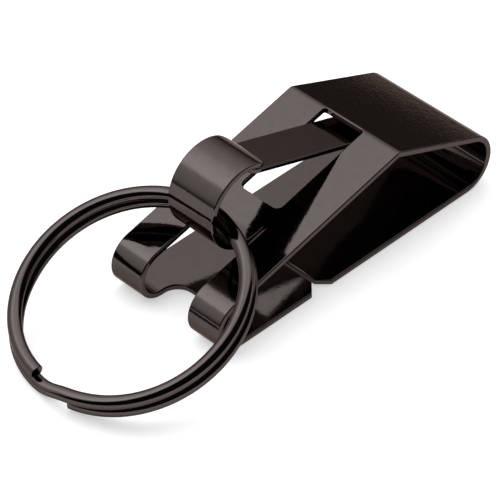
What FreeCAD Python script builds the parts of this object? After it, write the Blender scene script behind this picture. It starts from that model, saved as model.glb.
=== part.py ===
import FreeCAD, Part
import math
import os

# Belt key clip lying on its back, millimetres, +Z up, +X towards the fold, +Y across the strip.
# The origin is on the outer face of the back, in the middle of the belt loop.

# Spring strip of the belt loop
loop_length = 50.6
strip_width = 19.4
sheet_t = 0.85
curl_r = 3.85
fold_r = 4.45
crease_x = 7.25
crease_z = 14.85
crease_r = 1.3
slit_x = -6.7
slit_w = 0.45
corner_cut = 1.6
flex_gap = 0.2

# Window in the front face and notch between the two curls
window_width = 6.8
window_end_x = -8.4
window_r = 0.9
window_top_r = 0.6
notch_width = 8.4
notch_x = -18.75
notch_r = 2.4

# Hook finger
finger_gap = 0.25
hook_left_x = -20.55
hook_mid_z = 15.7
hook_top_r = 5.95
hook_tip_deg = 47.0
hook_tip_r = 1.5
finger_root = 0.8

# Gate leaf under the top plate
gate_width = 6.4
gate_t = 0.7
gate_lap = 1.7
gate_end_r = 1.6
gate_clear = 0.12
tip_clear = 0.18
pad_length = 5.5
pad_back = 1.2
pad_gap = 0.2

# Split ring
ring_d = 32.0
wire_w = 1.9
wire_t = 1.545
wire_gap = 0.46
wire_round_share = 0.45
cross_deg = 21.0
cross_steps = 10
ring_start_deg = 191.0
ring_clear = 0.36
ring_seat_deg = -142.0
ring_lean_share = 0.09
ring_shift = 0.1
gap_points = 240

overrun = 2.0

os.makedirs("parts", exist_ok=True)


def vec(x, z, y=0.0):
    return FreeCAD.Vector(x, y, z)


def polar(centre, radius, angle):
    return vec(centre[0] + radius * math.cos(angle), centre[1] + radius * math.sin(angle))


def line(a, b):
    return Part.LineSegment(a, b).toShape()


def arc(centre, radius, start, end):
    first, middle, last = [polar(centre, radius, a) for a in (start, (start + end) / 2, end)]
    return Part.Arc(first, middle, last).toShape()


def prism_across(edges, width):
    wire = Part.Wire(Part.__sortEdges__(edges))
    face = Part.Face(wire)
    face.translate(FreeCAD.Vector(0, -width / 2, 0))
    return face.extrude(FreeCAD.Vector(0, width, 0))


def plan_prism(points, low, high):
    corners = [FreeCAD.Vector(x, y, low) for x, y in points]
    face = Part.Face(Part.makePolygon(corners + corners[:1]))
    return face.extrude(FreeCAD.Vector(0, 0, high - low))


def slot_cut(left, right, width, low, high, corners):
    slot = Part.makeBox(right - left, width, high - low, FreeCAD.Vector(left, -width / 2, low))
    for corner_x, corner_r in corners:
        edges = [e for e in slot.Edges if is_upright(e) and abs(e.CenterOfMass.x - corner_x) < corner_r]
        slot = slot.makeFillet(corner_r, edges)
    return slot


def is_upright(edge):
    tangent = edge.tangentAt(edge.FirstParameter)
    return abs(tangent.z) > abs(tangent.x) + abs(tangent.y)


def is_across(edge):
    tangent = edge.tangentAt(edge.FirstParameter)
    return abs(tangent.y) > abs(tangent.x) + abs(tangent.z)


# Profile of the strip in the X Z plane
half_loop = loop_length / 2
curl_c = (curl_r - half_loop, curl_r)
fold_c = (half_loop - fold_r, fold_r)
leg_base = math.atan2(crease_z - curl_c[1], crease_x - curl_c[0])
leg_dist = math.hypot(crease_z - curl_c[1], crease_x - curl_c[0])
leg_a = leg_base - math.asin(curl_r / leg_dist)
top_base = math.atan2(crease_z - fold_c[1], fold_c[0] - crease_x)
top_dist = math.hypot(crease_z - fold_c[1], fold_c[0] - crease_x)
top_a = top_base - math.asin(fold_r / top_dist)
leg_up = (-math.sin(leg_a), math.cos(leg_a))
top_up = (math.sin(top_a), math.cos(top_a))
spread = 1 + leg_up[0] * top_up[0] + leg_up[1] * top_up[1]
crease_c = (crease_x - crease_r * (leg_up[0] + top_up[0]) / spread,
            crease_z - crease_r * (leg_up[1] + top_up[1]) / spread)
quarter = math.pi / 2
leg_turn = quarter + leg_a
top_turn = quarter - top_a
flex_a = flex_gap / 2 / fold_r
return_end_x = slit_x - slit_w / 2
back_end_x = slit_x + slit_w / 2


def front_path(depth):
    curl = curl_r - depth
    crease = crease_r - depth
    fold = fold_r - depth
    start = vec(return_end_x, depth)
    edges = [line(start, polar(curl_c, curl, -quarter)),
             arc(curl_c, curl, 3 * quarter, leg_turn),
             line(polar(curl_c, curl, leg_turn), polar(crease_c, crease, leg_turn)),
             arc(crease_c, crease, leg_turn, top_turn),
             line(polar(crease_c, crease, top_turn), polar(fold_c, fold, top_turn)),
             arc(fold_c, fold, top_turn, flex_a)]
    return edges, start, polar(fold_c, fold, flex_a)


def back_path(depth):
    fold = fold_r - depth
    end = vec(back_end_x, depth)
    edges = [arc(fold_c, fold, -flex_a, -quarter),
             line(polar(fold_c, fold, -quarter), end)]
    return edges, polar(fold_c, fold, -flex_a), end


def strip(path, width):
    outer, outer_a, outer_b = path(0.0)
    inner, inner_a, inner_b = path(sheet_t)
    return prism_across(outer + inner + [line(outer_a, inner_a), line(outer_b, inner_b)], width)


def end_corners(end_x, inward):
    half = strip_width / 2
    cuts = []
    for side in (-1, 1):
        points = [(end_x - inward * overrun, side * (half + overrun)),
                  (end_x + inward * (corner_cut + overrun), side * (half + overrun)),
                  (end_x - inward * overrun, side * (half - corner_cut - overrun))]
        cuts.append(plan_prism(points, -overrun, sheet_t + overrun))
    return cuts


# Hook finger: it leaves the front face at its underside and curls up and over
under_x = crease_x - sheet_t * leg_up[0]
under_z = crease_z - sheet_t * leg_up[1]
under_at_left = under_z - math.tan(leg_a) * (under_x - hook_left_x)
hook_low_r = (hook_mid_z - under_at_left) * math.cos(leg_a) / (1 + math.sin(leg_a))
hook_low_c = (hook_left_x + hook_low_r, hook_mid_z)
hook_top_c = (hook_left_x + hook_top_r, hook_mid_z)
hook_tip_a = math.radians(hook_tip_deg)
leave_a = leg_a - quarter
finger_x = polar(hook_low_c, hook_low_r, leave_a).x + finger_root
hook_width = notch_width - 2 * finger_gap


def finger_path(depth):
    low = hook_low_r - depth
    top = hook_top_r - depth
    leave = polar(hook_low_c, low, leave_a)
    start = vec(finger_x, leave.z + math.tan(leg_a) * (finger_x - leave.x))
    edges = [line(start, leave),
             arc(hook_low_c, low, leave_a, -2 * quarter),
             arc(hook_top_c, top, 2 * quarter, hook_tip_a)]
    return edges, start, polar(hook_top_c, top, hook_tip_a)


def rounded_end(solid, end, reach, width, radius):
    picked = []
    for edge in solid.Edges:
        across = abs(abs(edge.CenterOfMass.y) - width / 2) < reach
        near = math.hypot(edge.CenterOfMass.x - end.x, edge.CenterOfMass.z - end.z) < reach
        if across and near and edge.Length < 2 * reach:
            picked.append(edge)
    return solid.makeFillet(radius, picked)


finger = strip(finger_path, hook_width)
tip_outer = finger_path(0.0)[2]
tip_inner = finger_path(sheet_t)[2]
finger = rounded_end(finger, (tip_outer + tip_inner) / 2, sheet_t, hook_width, hook_tip_r)

# Front of the clip: return plate, curls, front face, hook, top plate and half of the fold
front = strip(front_path, strip_width)
window_low = curl_r + curl_r / 2
window_top = crease_z + overrun
window_corners = [(window_end_x, window_r), (crease_x, window_top_r)]
window = slot_cut(window_end_x, crease_x, window_width, window_low, window_top, window_corners)
left = -half_loop - overrun
notch_corner = FreeCAD.Vector(left, -notch_width / 2, curl_r)
upper_notch = Part.makeBox(finger_x - left, notch_width, crease_z, notch_corner)
lower_notch = slot_cut(left, notch_x, notch_width, -overrun, curl_r + overrun, [(notch_x, notch_r)])
front = front.cut([window, upper_notch, lower_notch] + end_corners(return_end_x, -1))
front = front.fuse(finger).removeSplitter()
front.exportStep("parts/clip_front.step")

# Back leaf: the other half of the fold and the plate behind the belt
back = strip(back_path, strip_width).cut(end_corners(back_end_x, 1))
back.exportStep("parts/back_leaf.step")

# Gate spring: a pad fixed under the top plate, and the leaf that closes the hook
along = (math.cos(top_a), -math.sin(top_a))
plate_end = polar(fold_c, fold_r - sheet_t, top_turn)


def under_plate(distance, drop):
    x = plate_end.x - distance * along[0] - drop * top_up[0]
    z = plate_end.z - distance * along[1] - drop * top_up[1]
    return vec(x, z)


pad_near = pad_back + pad_length
pad_corners = [under_plate(pad_back, 0.0), under_plate(pad_near, 0.0),
               under_plate(pad_near, gate_t), under_plate(pad_back, gate_t)]
pad_edges = [line(pad_corners[i - 1], pad_corners[i]) for i in range(len(pad_corners))]
pad = prism_across(pad_edges, gate_width)
pad.exportStep("parts/gate_pad.step")

hinge_top = under_plate(pad_near + pad_gap, gate_clear)
reach_x = hinge_top.x - tip_inner.x
reach_z = tip_inner.z - hinge_top.z
reach = math.hypot(reach_x, reach_z)
gate_a = math.atan2(reach_z, reach_x) - math.asin(tip_clear / reach)
gate_length = math.sqrt(reach ** 2 - tip_clear ** 2) + gate_lap


def gate_point(distance, drop):
    x = hinge_top.x - distance * math.cos(gate_a) - drop * math.sin(gate_a)
    z = hinge_top.z + distance * math.sin(gate_a) - drop * math.cos(gate_a)
    return vec(x, z)


gate_corners = [gate_point(0.0, 0.0), gate_point(gate_length, 0.0),
                gate_point(gate_length, gate_t), gate_point(0.0, gate_t)]
gate_edges = [line(gate_corners[i - 1], gate_corners[i]) for i in range(len(gate_corners))]
gate = prism_across(gate_edges, gate_width)
gate = rounded_end(gate, gate_point(gate_length, gate_t / 2), gate_t, gate_width, gate_end_r)
gate.exportStep("parts/gate_leaf.step")

# Split ring: one rounded wire, two turns with a crossing between its ends
ring_r = (ring_d - wire_w) / 2
pitch = wire_t + wire_gap
stack = 2 * wire_t + wire_gap
wire_edge_r = wire_round_share * wire_t
turn_deg = 360.0 - cross_deg
ring_sag = ring_r - math.sqrt(ring_r ** 2 - (hook_width / 2 + ring_shift) ** 2)
ring_seat = wire_w / 2 + ring_lean_share * stack + ring_sag + ring_clear
seat = polar(hook_low_c, hook_low_r - sheet_t - ring_seat, math.radians(ring_seat_deg))
lift_a = ring_d - wire_w / 2 - wire_edge_r
lift_b = stack / 2 - wire_edge_r
ring_tilt = math.asin((seat.z - wire_edge_r) / math.hypot(lift_a, lift_b)) - math.atan2(lift_b, lift_a)


def wire_height(angle):
    step = min(max((angle - turn_deg) / cross_deg, 0.0), 1.0)
    return pitch * step * step * (3 - 2 * step) - pitch / 2


def wire_section(angle):
    box = Part.makeBox(wire_w, wire_w, wire_t, FreeCAD.Vector(ring_r - wire_w / 2, 0, -wire_t / 2))
    rounded = box.makeFillet(wire_edge_r, [e for e in box.Edges if is_across(e)])
    face = min(rounded.Faces, key=lambda f: f.CenterOfMass.y)
    outline = face.OuterWire
    outline.translate(FreeCAD.Vector(0, 0, wire_height(angle)))
    outline.rotate(FreeCAD.Vector(0, 0, 0), FreeCAD.Vector(0, 0, 1), angle + ring_start_deg)
    return outline


def flat_turn(angle):
    face = Part.Face(wire_section(angle))
    return face.revolve(FreeCAD.Vector(0, 0, 0), FreeCAD.Vector(0, 0, 1), turn_deg)


cross_angles = [turn_deg + cross_deg * i / cross_steps for i in range(cross_steps + 1)]
crossing = Part.makeLoft([wire_section(a) for a in cross_angles], True, False)
ring = flat_turn(0.0).fuse([crossing, flat_turn(turn_deg + cross_deg)])
ring.rotate(FreeCAD.Vector(0, 0, 0), FreeCAD.Vector(0, 1, 0), -math.degrees(ring_tilt))
ring_c = vec(seat.x - ring_r * math.cos(ring_tilt), seat.z - ring_r * math.sin(ring_tilt), ring_shift)
ring.translate(ring_c)
ring.exportStep("parts/split_ring.step")

# Least gap between the ring's turns, measured on points of the wire
whole_deg = 2 * turn_deg + cross_deg
wire_points = []
for i in range(gap_points + 1):
    angle = whole_deg * i / gap_points
    wire_points.append((angle, wire_height(angle)))
near_deg = cross_deg / cross_steps
pairs = [(p, q) for p in wire_points for q in wire_points if abs(q[0] - p[0] - 360.0) < near_deg]
least = min(abs(p[1] - q[1]) for p, q in pairs)
print("least gap between the turns", round(least - wire_t, 3))
print("leg slope", round(math.degrees(leg_a), 2), "top slope", round(math.degrees(top_a), 2))
print("gate slope", round(math.degrees(gate_a), 2), "gate length", round(gate_length, 2))
print("ring tilt", round(math.degrees(ring_tilt), 2), "ring seat", round(seat.x, 3), round(seat.z, 3))
print("gate hinge", [round(v, 3) for v in gate_point(0.0, gate_t / 2)])
print("fold hinge", round(half_loop - sheet_t / 2, 3), fold_r)
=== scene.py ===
import math

import bpy
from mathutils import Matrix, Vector
from mathutils.geometry import delaunay_2d_cdt


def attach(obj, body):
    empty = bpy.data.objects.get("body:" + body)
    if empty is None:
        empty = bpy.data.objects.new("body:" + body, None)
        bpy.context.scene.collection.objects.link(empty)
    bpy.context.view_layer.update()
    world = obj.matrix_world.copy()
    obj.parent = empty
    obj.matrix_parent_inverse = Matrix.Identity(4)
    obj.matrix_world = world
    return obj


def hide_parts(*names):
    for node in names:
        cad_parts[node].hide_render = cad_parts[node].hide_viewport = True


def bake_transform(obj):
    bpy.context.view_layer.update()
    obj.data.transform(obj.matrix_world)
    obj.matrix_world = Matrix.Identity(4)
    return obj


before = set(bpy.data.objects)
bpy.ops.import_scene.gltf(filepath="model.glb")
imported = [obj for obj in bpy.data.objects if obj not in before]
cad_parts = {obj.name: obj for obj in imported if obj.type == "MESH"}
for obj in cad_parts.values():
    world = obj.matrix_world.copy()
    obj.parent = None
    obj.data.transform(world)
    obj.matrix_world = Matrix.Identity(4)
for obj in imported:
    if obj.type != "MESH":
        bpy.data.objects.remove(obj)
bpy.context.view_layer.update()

MM = 0.001
QUARTER = math.pi / 2

# Sizes of the clip and its ring in millimetres, as in the part
loop_length = 50.6
strip_width = 19.4
sheet_t = 0.85
curl_r = 3.85
fold_r = 4.45
crease_x = 7.25
crease_z = 14.85
crease_r = 1.3
slit_x = -6.7
slit_w = 0.45
corner_cut = 1.6
window_width = 6.8
window_end_x = -8.4
window_r = 0.9
window_top_r = 0.6
notch_width = 8.4
notch_x = -18.75
notch_r = 2.4
finger_gap = 0.25
hook_left_x = -20.55
hook_mid_z = 15.7
hook_top_r = 5.95
hook_tip_deg = 47.0
hook_tip_r = 1.5
finger_root = 0.8
gate_width = 6.4
gate_t = 0.7
gate_lap = 1.7
gate_end_r = 1.6
gate_clear = 0.12
tip_clear = 0.18
pad_length = 5.5
pad_back = 1.2
pad_gap = 0.2
pad_drop = 0.02
ring_d = 32.0
wire_w = 1.9
stack = 3.55
wire_corner = 0.69525
turn_gap = 0.05
cross_deg = 21.0
ring_start_deg = 191.0
ring_clear = 0.36
ring_seat_deg = -142.0
ring_lean_share = 0.09
ring_shift = 0.1
bulge = 0.5
bulge_start_deg = 265.0
bulge_end_deg = 374.0
tuck = 0.2
tuck_deg = 40.0

# Fineness of the meshes: lengths in millimetres, limits and counts
edge_round = 0.22
gate_edge_round = 0.17
round_steps = 4
arc_step = math.radians(2.5)
corner_steps = 10
ring_step_deg = 1.5
section_points = 40
line_inset = 0.08
least_span = 3 * line_inset
least_step = 0.02
straight_limit = 0.03
smooth_limit = 0.9
pad_stations = 6
gate_stations = 48
cap_round = 0.15
tiny = 1e-5
weld = 1e-6

# Looks of the plating: colours, range of roughness, and each noise's scale and detail
edge_tint = (0.52, 0.475, 0.46)
clip_colour = (0.07, 0.0575, 0.0533)
ring_colour = (0.0715, 0.059, 0.0548)
smooth_rough = (0.06, 0.08)
tint_spread = 0.04
tint_noise = (900.0, 3.0)
grain_noise = (1500.0, 4.0)
peel_noise = (1800.0, 4.0)
peel_strength = 0.2
peel_depth = 0.00003
noise_low = 0.3
noise_high = 0.7

# Floor, in metres
floor_half = 1.5
floor_z = -0.00002
floor_noise = (30.0, 2.0)
floor_dark = (0.65, 0.637, 0.631)
floor_light = (0.67, 0.657, 0.651)
floor_glow = 0.5

# Studio: levels of light by the sine of the height, from the horizon to overhead
sky_peak = 2.65
sky_strength = 3.32
sky_warm = 0.05
sky_cool = 0.04
far_right_levels = [(0.0, 0.1), (0.09, 0.16), (0.13, 0.3), (0.2, 0.5), (0.29, 0.65), (0.44, 0.85),
                    (0.59, 1.1), (0.69, 1.27), (0.79, 1.5), (0.85, 1.75), (0.93, 1.75), (1.0, 1.55)]
far_left_levels = [(0.0, 0.2), (0.06, 0.35), (0.12, 0.65), (0.24, 0.8), (0.5, 1.0), (0.62, 1.15),
                   (0.7, 2.4), (0.85, 2.65), (0.93, 2.3), (1.0, 1.55)]
near_levels = [(0.0, 0.008), (1.0, 0.03)]
right_to_left = (0.3, -0.35)
far_direction = (0.383, 0.924, 0.3)
far_to_near = (0.26, 0.12)

# Overhead lamp and camera, in metres
lamp_place = (0.0, 0.1, 0.8)
lamp_aim = (0.0, 0.1, 0.0)
lamp_size = 1.2
lamp_power = 4.0
camera_place = (-0.249023, -0.238609, 0.297215)
camera_aim = (-0.012378, -0.002416, 0.006068)
camera_sensor = 36.0
camera_lens = 252.0
camera_clip = 0.01


def polar(centre, radius, angle):
    return (centre[0] + radius * math.cos(angle), centre[1] + radius * math.sin(angle))


# Paths of sheets: parts of straight line and arc in the X Z plane
def line_part(a, b, side=1, extra=0):
    length = math.dist(a, b)
    along = ((b[0] - a[0]) / length, (b[1] - a[1]) / length)
    normal = (-along[1] * side, along[0] * side)

    def place(t):
        return (a[0] + along[0] * t, a[1] + along[1] * t), along, normal

    return length, place, [length * i / (extra + 1) for i in range(1, extra + 1)]


def arc_part(centre, radius, start, end, side=1):
    length = abs(end - start) * radius
    turn = 1 if end > start else -1

    def place(t):
        angle = start + turn * t / radius
        along = (-math.sin(angle) * turn, math.cos(angle) * turn)
        return polar(centre, radius, angle), along, (math.cos(angle) * side, math.sin(angle) * side)

    steps = max(2, math.ceil(abs(end - start) / arc_step))
    return length, place, [length * i / steps for i in range(1, steps)]


# A sheet's path, with length s along its face, y across it and depth below it
class Path:
    def __init__(self, parts, across=1):
        self.parts = []
        self.across = across
        self.stations = []
        self.length = 0.0
        for length, place, inner in parts:
            self.parts.append((self.length, self.length + length, place))
            self.stations += [self.length + t for t in inner]
            self.length += length
            self.stations.append(self.length)
        self.stations.pop()

    def frame(self, s):
        for start, end, place in self.parts:
            if s <= end + tiny:
                return place(s - start)
        return self.parts[-1][2](s - self.parts[-1][0])

    def point(self, s, y, depth):
        at, _, normal = self.frame(s)
        return Vector((at[0] - depth * normal[0], y * self.across, at[1] - depth * normal[1])) * MM

    def direction(self, s, ds, dy, dn):
        _, along, normal = self.frame(s)
        v = Vector((along[0] * ds + normal[0] * dn, dy * self.across, along[1] * ds + normal[1] * dn))
        return v.normalized()


# Outlines of sheets in the plane of length s and width y, with the metal on the left of each edge;
# a rim is an edge with rounded arrises, a wall a square end that meets another sheet
def corner_arc(centre, radius, start_deg, end_deg):
    points = []
    for i in range(corner_steps + 1):
        angle = math.radians(start_deg + (end_deg - start_deg) * i / corner_steps)
        points.append(polar(centre, radius, angle))
    return points


# The outline with a point at each station, so that its edges follow the bends
def divided(points, kinds, stations):
    out_points = []
    out_kinds = []
    for i, a in enumerate(points):
        b = points[(i + 1) % len(points)]
        out_points.append(a)
        out_kinds.append(kinds[i])
        low, high = min(a[0], b[0]), max(a[0], b[0])
        between = [s for s in stations if low + least_step < s < high - least_step]
        if a[0] > b[0]:
            between.reverse()
        for s in between:
            share = (s - a[0]) / (b[0] - a[0])
            out_points.append((s, a[1] + (b[1] - a[1]) * share))
            out_kinds.append(kinds[i])
    return out_points, out_kinds


def inside(s, y, loops):
    odd = False
    for loop in loops:
        for i, a in enumerate(loop):
            b = loop[(i + 1) % len(loop)]
            if (a[1] > y) != (b[1] > y):
                if s < a[0] + (y - a[1]) * (b[0] - a[0]) / (b[1] - a[1]):
                    odd = not odd
    return odd


# Points, faces and the shading of each face's corners, gathered into one mesh
class Shell:
    def __init__(self):
        self.points = []
        self.faces = []
        self.normals = []

    def add_point(self, p):
        self.points.append(p)
        return len(self.points) - 1

    def add_face(self, corners, normals):
        self.faces.append(corners)
        self.normals += normals

    def make(self, name, material):
        mesh = bpy.data.meshes.new(name)
        mesh.from_pydata(self.points, [], self.faces)
        mesh.shade_smooth()
        mesh.normals_split_custom_set(self.normals)
        mesh.materials.append(material)
        obj = bpy.data.objects.new(name, mesh)
        bpy.context.scene.collection.objects.link(obj)
        return obj


def edge_normal(a, b):
    length = math.dist(a, b)
    return (-(b[1] - a[1]) / length, (b[0] - a[0]) / length)


def corner_offset(n1, d1, n2, d2):
    det = n1[0] * n2[1] - n1[1] * n2[0]
    if abs(det) < straight_limit:
        share = (d1 + d2) / 2
        return ((n1[0] + n2[0]) / 2 * share, (n1[1] + n2[1]) / 2 * share)
    return ((d1 * n2[1] - d2 * n1[1]) / det, (n1[0] * d2 - n2[0] * d1) / det)


# Steps round an edge: share of the offset, depth, and the outward and upward shares of the shading
def round_rings(thickness, radius):
    rings = []
    for i in range(round_steps + 1):
        phi = QUARTER * i / round_steps
        rings.append((1 - math.sin(phi), radius * (1 - math.cos(phi)), math.sin(phi), math.cos(phi)))
    return rings + [(u, thickness - d, out, -up) for u, d, out, up in reversed(rings)]


# A sheet's edges, and then its two faces
def add_sheet(shell, path, outlines, thickness, radius):
    rings = round_rings(thickness, radius)
    inset_loops = []
    inset_ids = []
    for points, kinds in outlines:
        points, kinds = divided(points, kinds, path.stations)
        count = len(points)
        normals = [edge_normal(points[i], points[(i + 1) % count]) for i in range(count)]
        depth = [radius if kind == "rim" else 0.0 for kind in kinds]
        offsets = [corner_offset(normals[i - 1], depth[i - 1], normals[i], depth[i]) for i in range(count)]
        ids = []
        for i in range(count):
            row = []
            for u, d, *_ in rings:
                s = points[i][0] + offsets[i][0] * u
                y = points[i][1] + offsets[i][1] * u
                row.append(shell.add_point(path.point(s, y, d)))
            ids.append(row)
        for i in range(count):
            j = (i + 1) % count
            ends = []
            for k, other in ((i, normals[i - 1]), (j, normals[j])):
                n = normals[i]
                if n[0] * other[0] + n[1] * other[1] > smooth_limit:
                    n = (n[0] + other[0], n[1] + other[1])
                size = math.hypot(n[0], n[1])
                ends.append((points[k][0], n[0] / size, n[1] / size))
            for k in range(len(rings) - 1):
                corners = [(0, k), (0, k + 1), (1, k + 1), (1, k)]
                face = [ids[(i, j)[e]][r] for e, r in corners]
                shades = []
                for e, r in corners:
                    s, ns, ny = ends[e]
                    shades.append(path.direction(s, -ns * rings[r][2], -ny * rings[r][2], rings[r][3]))
                shell.add_face(face, shades)
        inset_loops.append([(p[0] + offset[0], p[1] + offset[1]) for p, offset in zip(points, offsets)])
        inset_ids.append(ids)
    fill_sheet(shell, path, inset_loops, inset_ids, thickness)


# Spans of metal across the sheet at one station
def station_lines(s, loops, starts):
    hits = []
    for loop, start in zip(loops, starts):
        for i, a in enumerate(loop):
            b = loop[(i + 1) % len(loop)]
            if abs(a[0] - s) < tiny:
                hits.append((a[1], start + i))
            elif abs(b[0] - s) >= tiny and (a[0] - s) * (b[0] - s) < 0:
                hits.append((a[1] + (b[1] - a[1]) * (s - a[0]) / (b[0] - a[0]), None))
    hits.sort(key=lambda h: h[0])
    spans = []
    for (ya, ia), (yb, ib) in zip(hits, hits[1:]):
        if yb - ya > least_span and inside(s, (ya + yb) / 2, loops):
            spans.append(((ya, ia), (yb, ib)))
    return spans


def fill_sheet(shell, path, loops, ids, thickness):
    flat = []
    edges = []
    tops = []
    bottoms = []
    starts = []
    for loop, rows in zip(loops, ids):
        start = len(flat)
        starts.append(start)
        flat += loop
        edges += [(start + i, start + (i + 1) % len(loop)) for i in range(len(loop))]
        tops += [row[0] for row in rows]
        bottoms += [row[-1] for row in rows]
    for s in path.stations:
        for (ya, ia), (yb, ib) in station_lines(s, loops, starts):
            ends = []
            for y, index, inward in ((ya, ia, line_inset), (yb, ib, -line_inset)):
                if index is None:
                    index = len(flat)
                    flat.append((s, y + inward))
                    tops.append(shell.add_point(path.point(s, y + inward, 0.0)))
                    bottoms.append(shell.add_point(path.point(s, y + inward, thickness)))
                ends.append(index)
            edges.append(tuple(ends))
    found = delaunay_2d_cdt([Vector(p) for p in flat], edges, [], 0, weld)
    origin = []
    for at, sources in zip(found[0], found[3]):
        if sources:
            origin.append(sources[0])
        else:
            origin.append(len(flat))
            flat.append((at.x, at.y))
            tops.append(shell.add_point(path.point(at.x, at.y, 0.0)))
            bottoms.append(shell.add_point(path.point(at.x, at.y, thickness)))
    for face in found[2]:
        corners = [origin[v] for v in face]
        s = sum(flat[c][0] for c in corners) / len(corners)
        y = sum(flat[c][1] for c in corners) / len(corners)
        if len(set(corners)) < 3 or not inside(s, y, loops):
            continue
        a, b, c = [flat[k] for k in corners[:3]]
        turn = (b[0] - a[0]) * (c[1] - a[1]) - (b[1] - a[1]) * (c[0] - a[0])
        if abs(turn) < tiny:
            continue
        if turn < 0:
            corners.reverse()
        shades = [path.direction(flat[c][0], 0.0, 0.0, 1.0) for c in corners]
        shell.add_face([tops[c] for c in corners], shades)
        corners.reverse()
        shades = [path.direction(flat[c][0], 0.0, 0.0, -1.0) for c in corners]
        shell.add_face([bottoms[c] for c in corners], shades)


# Materials: one plating for the clip and its gate, another for the ring
def noise_node(tree, noise_shape):
    coords = tree.nodes.new("ShaderNodeTexCoord")
    noise = tree.nodes.new("ShaderNodeTexNoise")
    for key, value in zip(("Scale", "Detail"), noise_shape):
        noise.inputs[key].default_value = value
    tree.links.new(coords.outputs["Object"], noise.inputs["Vector"])
    return noise.outputs["Fac"]


def ramp_node(tree, source, stops):
    ramp = tree.nodes.new("ShaderNodeValToRGB")
    while len(ramp.color_ramp.elements) < len(stops):
        ramp.color_ramp.elements.new(0.5)
    for element, (at, colour) in zip(ramp.color_ramp.elements, stops):
        element.position = at
        element.color = (*colour, 1.0)
    tree.links.new(source, ramp.inputs["Fac"])
    return ramp.outputs["Color"]


def range_node(tree, source, low, high, to_low, to_high):
    node = tree.nodes.new("ShaderNodeMapRange")
    for key, value in (("From Min", low), ("From Max", high), ("To Min", to_low), ("To Max", to_high)):
        node.inputs[key].default_value = value
    tree.links.new(source, node.inputs["Value"])
    return node.outputs["Result"]


def plated_metal(name, colour):
    material = bpy.data.materials.new(name)
    material.use_nodes = True
    tree = material.node_tree
    shader = tree.nodes["Principled BSDF"]
    shader.inputs["Metallic"].default_value = 1.0
    shader.inputs["Specular Tint"].default_value = (*edge_tint, 1.0)
    darker = tuple(c * (1 - tint_spread) for c in colour)
    lighter = tuple(c * (1 + tint_spread) for c in colour)
    tint = ramp_node(tree, noise_node(tree, tint_noise), [(noise_low, darker), (noise_high, lighter)])
    tree.links.new(tint, shader.inputs["Base Color"])
    grain = range_node(tree, noise_node(tree, grain_noise), noise_low, noise_high, *smooth_rough)
    tree.links.new(grain, shader.inputs["Roughness"])
    peel = tree.nodes.new("ShaderNodeBump")
    peel.inputs["Strength"].default_value = peel_strength
    peel.inputs["Distance"].default_value = peel_depth
    tree.links.new(noise_node(tree, peel_noise), peel.inputs["Height"])
    tree.links.new(peel.outputs["Normal"], shader.inputs["Normal"])
    return material


strip_metal = plated_metal("strip_plating", clip_colour)
gate_metal = plated_metal("gate_plating", clip_colour)
ring_metal = plated_metal("ring_plating", ring_colour)

# Profile of the belt loop
half_loop = loop_length / 2
half_width = strip_width / 2
curl_c = (curl_r - half_loop, curl_r)
fold_c = (half_loop - fold_r, fold_r)
leg_base = math.atan2(crease_z - curl_c[1], crease_x - curl_c[0])
leg_dist = math.hypot(crease_z - curl_c[1], crease_x - curl_c[0])
leg_a = leg_base - math.asin(curl_r / leg_dist)
top_base = math.atan2(crease_z - fold_c[1], fold_c[0] - crease_x)
top_dist = math.hypot(crease_z - fold_c[1], fold_c[0] - crease_x)
top_a = top_base - math.asin(fold_r / top_dist)
leg_up = (-math.sin(leg_a), math.cos(leg_a))
top_up = (math.sin(top_a), math.cos(top_a))
spread = 1 + leg_up[0] * top_up[0] + leg_up[1] * top_up[1]
crease_c = (crease_x - crease_r * (leg_up[0] + top_up[0]) / spread,
            crease_z - crease_r * (leg_up[1] + top_up[1]) / spread)
leg_turn = QUARTER + leg_a
top_turn = QUARTER - top_a
return_end_x = slit_x - slit_w / 2
back_end_x = slit_x + slit_w / 2

front_parts = [
    line_part((return_end_x, 0.0), polar(curl_c, curl_r, -QUARTER)),
    arc_part(curl_c, curl_r, 3 * QUARTER, leg_turn),
    line_part(polar(curl_c, curl_r, leg_turn), polar(crease_c, crease_r, leg_turn)),
    arc_part(crease_c, crease_r, leg_turn, top_turn),
    line_part(polar(crease_c, crease_r, top_turn), polar(fold_c, fold_r, top_turn)),
]
front_path = Path(front_parts)
leg_start = front_parts[0][0] + front_parts[1][0]
leg_start_x = polar(curl_c, curl_r, leg_turn)[0]


def leg_length_at(x):
    return leg_start + (x - leg_start_x) / math.cos(leg_a)


# Hook finger, its inner face carrying on from the upper side of the front face
under_x = crease_x - sheet_t * leg_up[0]
under_z = crease_z - sheet_t * leg_up[1]
under_at_left = under_z - math.tan(leg_a) * (under_x - hook_left_x)
hook_low_r = (hook_mid_z - under_at_left) * math.cos(leg_a) / (1 + math.sin(leg_a))
hook_low_c = (hook_left_x + hook_low_r, hook_mid_z)
hook_top_c = (hook_left_x + hook_top_r, hook_mid_z)
hook_tip_a = math.radians(hook_tip_deg)
leave_a = leg_a - QUARTER
leave = polar(hook_low_c, hook_low_r - sheet_t, leave_a)
finger_s = leg_length_at(polar(hook_low_c, hook_low_r, leave_a)[0] + finger_root)
finger_start = front_path.frame(finger_s)[0]
hook_half = notch_width / 2 - finger_gap
finger_path = Path([
    line_part(finger_start, leave, -1),
    arc_part(hook_low_c, hook_low_r - sheet_t, leave_a, -2 * QUARTER, -1),
    arc_part(hook_top_c, hook_top_r - sheet_t, 2 * QUARTER, hook_tip_a, -1),
], -1)
tip_inner = polar(hook_top_c, hook_top_r - sheet_t, hook_tip_a)

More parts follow.
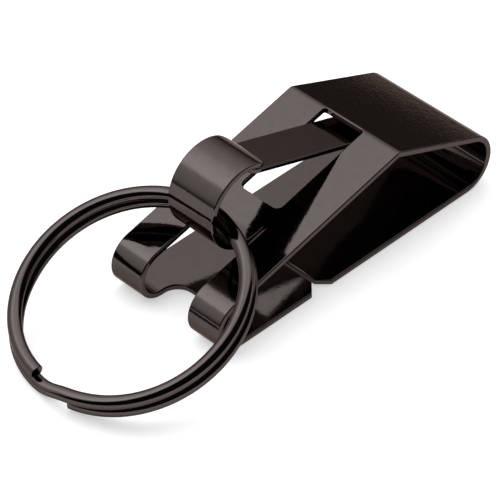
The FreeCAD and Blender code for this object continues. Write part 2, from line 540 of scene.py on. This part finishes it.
# Outline of the front: two cut corners, the window, and the notch that the hook comes out of
front_end = front_path.length
front_outline = [(corner_cut, -half_width), (front_end, -half_width), (front_end, half_width),
                 (corner_cut, half_width), (0.0, half_width - corner_cut), (0.0, corner_cut - half_width)]
front_kinds = ["rim", "wall"] + ["rim"] * 4
window_half = window_width / 2
window_s = leg_length_at(window_end_x)
window_end = front_end - front_parts[4][0] - front_parts[3][0] / 2
window_top_c = window_end - window_top_r
window_outline = corner_arc((window_s + window_r, window_r - window_half), window_r, 270.0, 180.0)
window_outline += corner_arc((window_s + window_r, window_half - window_r), window_r, 180.0, 90.0)
window_outline += corner_arc((window_top_c, window_half - window_top_r), window_top_r, 90.0, 0.0)
window_outline += corner_arc((window_top_c, window_top_r - window_half), window_top_r, 360.0, 270.0)
notch_half = notch_width / 2
notch_s = return_end_x - notch_x
notch_outline = corner_arc((notch_s + notch_r, notch_r - notch_half), notch_r, 270.0, 180.0)
notch_outline += corner_arc((notch_s + notch_r, notch_half - notch_r), notch_r, 180.0, 90.0)
notch_kinds = ["rim"] * len(notch_outline)
notch_outline += [(finger_s, y) for y in (notch_half, hook_half, -hook_half, -notch_half)]
notch_kinds += ["wall"] * 3 + ["rim"]

front = Shell()
add_sheet(front, front_path, [(front_outline, front_kinds),
                              (window_outline, ["rim"] * len(window_outline)),
                              (notch_outline, notch_kinds)], sheet_t, edge_round)
finger_end = finger_path.length
tip_outline = [(0.0, -hook_half)]
tip_outline += corner_arc((finger_end - hook_tip_r, hook_tip_r - hook_half), hook_tip_r, 270.0, 360.0)
tip_outline += corner_arc((finger_end - hook_tip_r, hook_half - hook_tip_r), hook_tip_r, 0.0, 90.0)
tip_outline += [(0.0, hook_half)]
tip_kinds = ["rim"] * (len(tip_outline) - 1) + ["wall"]
add_sheet(front, finger_path, [(tip_outline, tip_kinds)], sheet_t, edge_round)
loop_front = front.make("loop_front", strip_metal)
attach(loop_front, "clip")
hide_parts("clip_front")

# Fold and back plate of the loop
back_path = Path([
    arc_part(fold_c, fold_r, top_turn, -QUARTER),
    line_part(polar(fold_c, fold_r, -QUARTER), (back_end_x, 0.0)),
])
back_end = back_path.length
back_outline = [(0.0, -half_width), (back_end - corner_cut, -half_width), (back_end, corner_cut - half_width),
                (back_end, half_width - corner_cut), (back_end - corner_cut, half_width), (0.0, half_width)]
back = Shell()
add_sheet(back, back_path, [(back_outline, ["rim"] * 5 + ["wall"])], sheet_t, edge_round)
loop_back = back.make("loop_back", strip_metal)
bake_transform(loop_back)
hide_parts("back_leaf")

# Gate spring: flat under the top plate, then straight up through the window to the hook's tip
along = (math.cos(top_a), -math.sin(top_a))
plate_end = polar(fold_c, fold_r - sheet_t, top_turn)


def under_plate(distance, drop):
    return (plate_end[0] - distance * along[0] - drop * top_up[0],
            plate_end[1] - distance * along[1] - drop * top_up[1])


hinge_distance = pad_back + pad_length + pad_gap
hinge_top = under_plate(hinge_distance, gate_clear)
reach_x = hinge_top[0] - tip_inner[0]
reach_z = tip_inner[1] - hinge_top[1]
reach = math.hypot(reach_x, reach_z)
gate_a = math.atan2(reach_z, reach_x) - math.asin(tip_clear / reach)
gate_length = math.sqrt(reach ** 2 - tip_clear ** 2) + gate_lap
gate_tip = (hinge_top[0] - gate_length * math.cos(gate_a), hinge_top[1] + gate_length * math.sin(gate_a))
bend_distance = hinge_distance - (gate_clear - pad_drop) / math.tan(top_a - gate_a)
bend = under_plate(bend_distance, pad_drop)
gate_path = Path([
    line_part(under_plate(pad_back, pad_drop), bend, -1, pad_stations),
    line_part(bend, gate_tip, -1, gate_stations),
], -1)
gate_end = gate_path.length
gate_half = gate_width / 2
gate_outline = [(0.0, -gate_half)]
gate_outline += corner_arc((gate_end - gate_end_r, gate_end_r - gate_half), gate_end_r, 270.0, 360.0)
gate_outline += corner_arc((gate_end - gate_end_r, gate_half - gate_end_r), gate_end_r, 0.0, 90.0)
gate_outline += [(0.0, gate_half)]
gate = Shell()
add_sheet(gate, gate_path, [(gate_outline, ["rim"] * len(gate_outline))], gate_t, gate_edge_round)
gate_spring = gate.make("gate_spring", gate_metal)
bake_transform(gate_spring)
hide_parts("gate_pad", "gate_leaf")

# Split ring: one wire swept round two turns
ring_r = (ring_d - wire_w) / 2
ring_sag = ring_r - math.sqrt(ring_r ** 2 - (hook_half + ring_shift) ** 2)
ring_seat = wire_w / 2 + ring_lean_share * stack + ring_sag + ring_clear
seat = polar(hook_low_c, hook_low_r - sheet_t - ring_seat, math.radians(ring_seat_deg))
lift_a = ring_d - wire_w / 2 - wire_corner
lift_b = stack / 2 - wire_corner
ring_tilt = math.asin((seat[1] - wire_corner) / math.hypot(lift_a, lift_b)) - math.atan2(lift_b, lift_a)
ring_c = (seat[0] - ring_r * math.cos(ring_tilt), ring_shift, seat[1] - ring_r * math.sin(ring_tilt))
wire_t = (stack - turn_gap) / 2
pitch = wire_t + turn_gap
turn_deg = 360.0 - cross_deg
wire_deg = 2 * turn_deg + cross_deg


def wire_height(angle):
    step = min(max((angle - turn_deg) / cross_deg, 0.0), 1.0)
    return pitch * step * step * (3 - 2 * step) - pitch / 2


def wire_radius(angle):
    share = (angle - bulge_start_deg) / (bulge_end_deg - bulge_start_deg)
    out = math.sin(math.pi * share) ** 2 if 0.0 < share < 1.0 else 0.0
    last = max(0.0, (angle - wire_deg + tuck_deg) / tuck_deg)
    return ring_r + bulge * out - tuck * last * last


def wire_section(shrink):
    half_w = wire_w / 2 - shrink
    half_t = wire_t / 2 - shrink
    section = []
    for i in range(section_points):
        a = 4 * QUARTER * i / section_points
        nr = math.cos(a) / half_w
        nz = math.sin(a) / half_t
        size = math.hypot(nr, nz)
        section.append((half_w * math.cos(a), half_t * math.sin(a), nr / size, nz / size))
    return section


def from_ring(v):
    c, s = math.cos(ring_tilt), math.sin(ring_tilt)
    return Vector((v[0] * c - v[2] * s, v[1], v[0] * s + v[2] * c))


ring = Shell()
wire_steps = round(wire_deg / ring_step_deg)
cap_deg = math.degrees(cap_round / ring_r)
stops = [(0.0, cap_round)]
stops += [(cap_deg + (wire_deg - 2 * cap_deg) * i / wire_steps, 0.0) for i in range(wire_steps + 1)]
stops += [(wire_deg, cap_round)]
rows = []
for angle, shrink in stops:
    theta = math.radians(angle + ring_start_deg)
    out = Vector((math.cos(theta), math.sin(theta), 0.0))
    row = []
    for dr, dz, nr, nz in wire_section(shrink):
        at = out * (wire_radius(angle) + dr) + Vector((0.0, 0.0, wire_height(angle) + dz))
        index = ring.add_point((from_ring(at) + Vector(ring_c)) * MM)
        row.append((index, from_ring(out * nr + Vector((0.0, 0.0, nz)))))
    rows.append(row)
for first, second in zip(rows, rows[1:]):
    for i in range(len(first)):
        j = (i + 1) % len(first)
        quad = [first[i], second[i], second[j], first[j]]
        ring.add_face([q[0] for q in quad], [q[1] for q in quad])
for row, way, angle in ((rows[0], -1, 0.0), (rows[-1], 1, wire_deg)):
    theta = math.radians(angle + ring_start_deg)
    facing = from_ring(Vector((-math.sin(theta), math.cos(theta), 0.0)) * way)
    cap = [q[0] for q in row]
    if way > 0:
        cap.reverse()
    ring.add_face(cap, [facing] * len(cap))
split_ring = ring.make("split_ring_wire", ring_metal)
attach(split_ring, "ring")
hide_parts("split_ring")

# Floor, white as the camera and the metal see it, with its shadow kept
floor_mesh = bpy.data.meshes.new("floor")
floor_corners = [(-floor_half, -floor_half, floor_z), (floor_half, -floor_half, floor_z),
                 (floor_half, floor_half, floor_z), (-floor_half, floor_half, floor_z)]
floor_mesh.from_pydata(floor_corners, [], [(0, 1, 2, 3)])
floor = bpy.data.objects.new("floor", floor_mesh)
bpy.context.scene.collection.objects.link(floor)
floor_look = bpy.data.materials.new("pale_floor")
floor_look.use_nodes = True
tree = floor_look.node_tree
tree.nodes.clear()
pale = ramp_node(tree, noise_node(tree, floor_noise), [(noise_low, floor_dark), (noise_high, floor_light)])
matt = tree.nodes.new("ShaderNodeBsdfDiffuse")
tree.links.new(pale, matt.inputs["Color"])
glow = tree.nodes.new("ShaderNodeEmission")
glow.inputs["Strength"].default_value = floor_glow
both = tree.nodes.new("ShaderNodeAddShader")
tree.links.new(matt.outputs["BSDF"], both.inputs[0])
tree.links.new(glow.outputs["Emission"], both.inputs[1])
rays = tree.nodes.new("ShaderNodeLightPath")
seen = rays.outputs["Is Camera Ray"]
for kind in ("Is Glossy Ray", "Is Transmission Ray"):
    either = tree.nodes.new("ShaderNodeMath")
    either.operation = "MAXIMUM"
    tree.links.new(seen, either.inputs[0])
    tree.links.new(rays.outputs[kind], either.inputs[1])
    seen = either.outputs["Value"]
choose = tree.nodes.new("ShaderNodeMixShader")
tree.links.new(seen, choose.inputs["Fac"])
tree.links.new(matt.outputs["BSDF"], choose.inputs[1])
tree.links.new(both.outputs["Shader"], choose.inputs[2])
surface = tree.nodes.new("ShaderNodeOutputMaterial")
tree.links.new(choose.outputs["Shader"], surface.inputs["Surface"])
floor_mesh.materials.append(floor_look)


# Studio: a bright ceiling over the far side, grey walls behind it, and a dark room behind the camera
def greys(stops):
    colours = []
    for at, level in stops:
        share = level / sky_peak
        colours.append((at, (share * (1 - sky_warm * share), share, share * (1 + sky_cool * share))))
    return colours


def mixed(tree, factor, first, second):
    node = tree.nodes.new("ShaderNodeMix")
    node.data_type = "RGBA"
    colours = [socket for socket in node.inputs if socket.type == "RGBA"]
    tree.links.new(factor, node.inputs["Factor"])
    tree.links.new(first, colours[0])
    tree.links.new(second, colours[1])
    return [socket for socket in node.outputs if socket.type == "RGBA"][0]


world = bpy.data.worlds.new("studio")
bpy.context.scene.world = world
world.use_nodes = True
tree = world.node_tree
coords = tree.nodes.new("ShaderNodeTexCoord")
split = tree.nodes.new("ShaderNodeSeparateXYZ")
tree.links.new(coords.outputs["Generated"], split.inputs["Vector"])
height = split.outputs["Z"]
far_right = ramp_node(tree, height, greys(far_right_levels))
far_left = ramp_node(tree, height, greys(far_left_levels))
near = ramp_node(tree, height, greys(near_levels))
leftward = range_node(tree, split.outputs["X"], *right_to_left, 0.0, 1.0)
towards_far = tree.nodes.new("ShaderNodeVectorMath")
towards_far.operation = "DOT_PRODUCT"
tree.links.new(coords.outputs["Generated"], towards_far.inputs[0])
towards_far.inputs[1].default_value = far_direction
nearward = range_node(tree, towards_far.outputs["Value"], *far_to_near, 0.0, 1.0)
far = mixed(tree, leftward, far_right, far_left)
around = mixed(tree, nearward, far, near)
tree.links.new(around, tree.nodes["Background"].inputs["Color"])
tree.nodes["Background"].inputs["Strength"].default_value = sky_strength


def softbox(name, place, aim, size, power):
    light = bpy.data.lights.new(name, "AREA")
    light.shape = "RECTANGLE"
    light.size = size
    light.size_y = size
    light.energy = power
    obj = bpy.data.objects.new(name, light)
    obj.location = place
    obj.rotation_euler = (Vector(aim) - Vector(place)).to_track_quat("-Z", "Y").to_euler()
    bpy.context.scene.collection.objects.link(obj)
    return obj


key = softbox("softbox_overhead", lamp_place, lamp_aim, lamp_size, lamp_power)
key.visible_glossy = False

# Camera at the photograph's viewing angle
camera_data = bpy.data.cameras.new("camera")
camera_data.sensor_width = camera_sensor
camera_data.lens = camera_lens
camera_data.clip_start = camera_clip
camera = bpy.data.objects.new("camera", camera_data)
camera.location = camera_place
camera.rotation_euler = (Vector(camera_aim) - Vector(camera_place)).to_track_quat("-Z", "Y").to_euler()
bpy.context.scene.collection.objects.link(camera)
bpy.context.scene.camera = camera
bpy.context.scene.view_settings.view_transform = "Standard"
